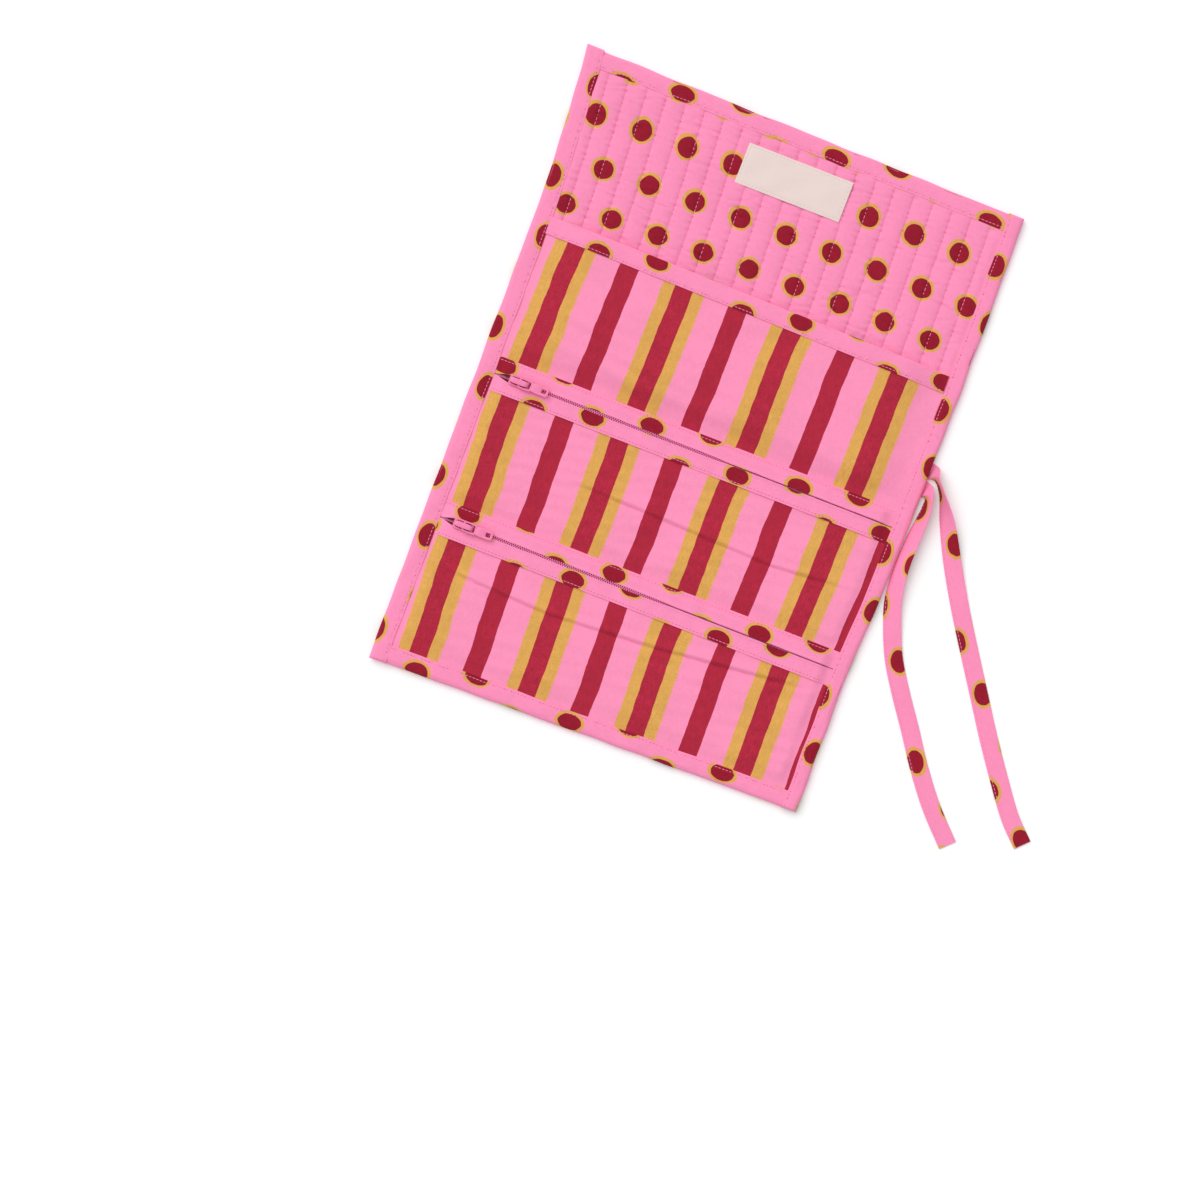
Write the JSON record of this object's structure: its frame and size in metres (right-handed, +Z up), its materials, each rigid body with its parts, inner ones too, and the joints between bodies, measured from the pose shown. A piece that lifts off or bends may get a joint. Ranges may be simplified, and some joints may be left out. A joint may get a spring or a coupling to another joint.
{
  "type": "jewelry roll",
  "caption": "Roll-up jewelry case in printed quilted cotton, lying open: padded flap, open slip pocket, zipped pockets, bound edges and a tie strap; it folds up section by section.",
  "frame": {"origin": "centre of the opened case's underside, on the table", "axes": "+X across the case to its right edge, +Y along the case to the flap's free edge, +Z up out of the interior"},
  "size_m": [0.3592, 0.334, 0.0099],
  "materials": {
    "dotted_cotton": "matt printed cotton, pink with red dots in gold rings",
    "striped_cotton": "matt printed cotton, pink with red and gold stripes",
    "batting": "soft white wadding",
    "label_weave": "beige woven tape",
    "zip_tape": "pink woven polyester",
    "zip_coil": "mauve nylon coil",
    "zip_enamel": "pink enamel on metal"
  },
  "bodies": {
    "slip_section": {"slip_shell": "striped_cotton", "slip_batting": "batting", "slip_lining": "dotted_cotton", "slip_binding_left": "dotted_cotton", "slip_binding_right": "dotted_cotton", "slip_pocket_front": "striped_cotton", "slip_pocket_band": "dotted_cotton", "strap_anchor": "dotted_cotton", "strap_end_a": "dotted_cotton", "strap_end_b": "dotted_cotton"},
    "flap_section": {"flap_shell": "striped_cotton", "flap_batting": "batting", "flap_lining": "dotted_cotton", "flap_binding_left": "dotted_cotton", "flap_binding_right": "dotted_cotton", "top_binding": "dotted_cotton", "label_patch": "label_weave"},
    "zip1_section": {"zip1_shell": "striped_cotton", "zip1_batting": "batting", "zip1_lining": "dotted_cotton", "zip1_binding_left": "dotted_cotton", "zip1_binding_right": "dotted_cotton", "zip1_upper_band": "dotted_cotton", "zip1_lower_band": "dotted_cotton", "zip1_upper_tape": "zip_tape", "zip1_lower_tape": "zip_tape", "zip1_upper_coil": "zip_coil", "zip1_lower_coil": "zip_coil", "zip1_pocket_front": "striped_cotton"},
    "zip2_section": {"zip2_shell": "striped_cotton", "zip2_batting": "batting", "zip2_lining": "dotted_cotton", "zip2_binding_left": "dotted_cotton", "zip2_binding_right": "dotted_cotton", "zip2_upper_band": "dotted_cotton", "zip2_lower_band": "dotted_cotton", "zip2_upper_tape": "zip_tape", "zip2_lower_tape": "zip_tape", "zip2_upper_coil": "zip_coil", "zip2_lower_coil": "zip_coil", "zip2_pocket_front": "striped_cotton", "bottom_binding": "dotted_cotton"},
    "zip1_slider": {"zip1_slider": "zip_enamel"},
    "zip2_slider": {"zip2_slider": "zip_enamel"},
    "zip1_pull": {"zip1_pull": "zip_enamel"},
    "zip2_pull": {"zip2_pull": "zip_enamel"}
  },
  "joints": [
    {"name": "flap_fold", "type": "hinge", "parent": "slip_section", "child": "flap_section", "pos_m": [0, 0.0796, 0.0154], "axis": [1, 0, 0], "range_deg": [0, 180]},
    {"name": "upper_zip_fold", "type": "hinge", "parent": "slip_section", "child": "zip1_section", "pos_m": [0, -0.0005, 0.0129], "axis": [-1, 0, 0], "range_deg": [0, 180]},
    {"name": "lower_zip_fold", "type": "hinge", "parent": "zip1_section", "child": "zip2_section", "pos_m": [0, -0.0803, 0.008], "axis": [-1, 0, 0], "range_deg": [0, 180]},
    {"name": "upper_zip_slide", "type": "slide", "parent": "zip1_section", "child": "zip1_slider", "axis": [1, 0, 0], "range_m": [0, 0.191]},
    {"name": "lower_zip_slide", "type": "slide", "parent": "zip2_section", "child": "zip2_slider", "axis": [1, 0, 0], "range_m": [0, 0.191]},
    {"name": "upper_pull_swing", "type": "hinge", "parent": "zip1_slider", "child": "zip1_pull", "pos_m": [-0.0955, -0.0093, 0.0084], "axis": [0, -1, 0], "range_deg": [0, 180]},
    {"name": "lower_pull_swing", "type": "hinge", "parent": "zip2_slider", "child": "zip2_pull", "pos_m": [-0.0955, -0.0891, 0.0084], "axis": [0, -1, 0], "range_deg": [0, 180]}
  ]
}
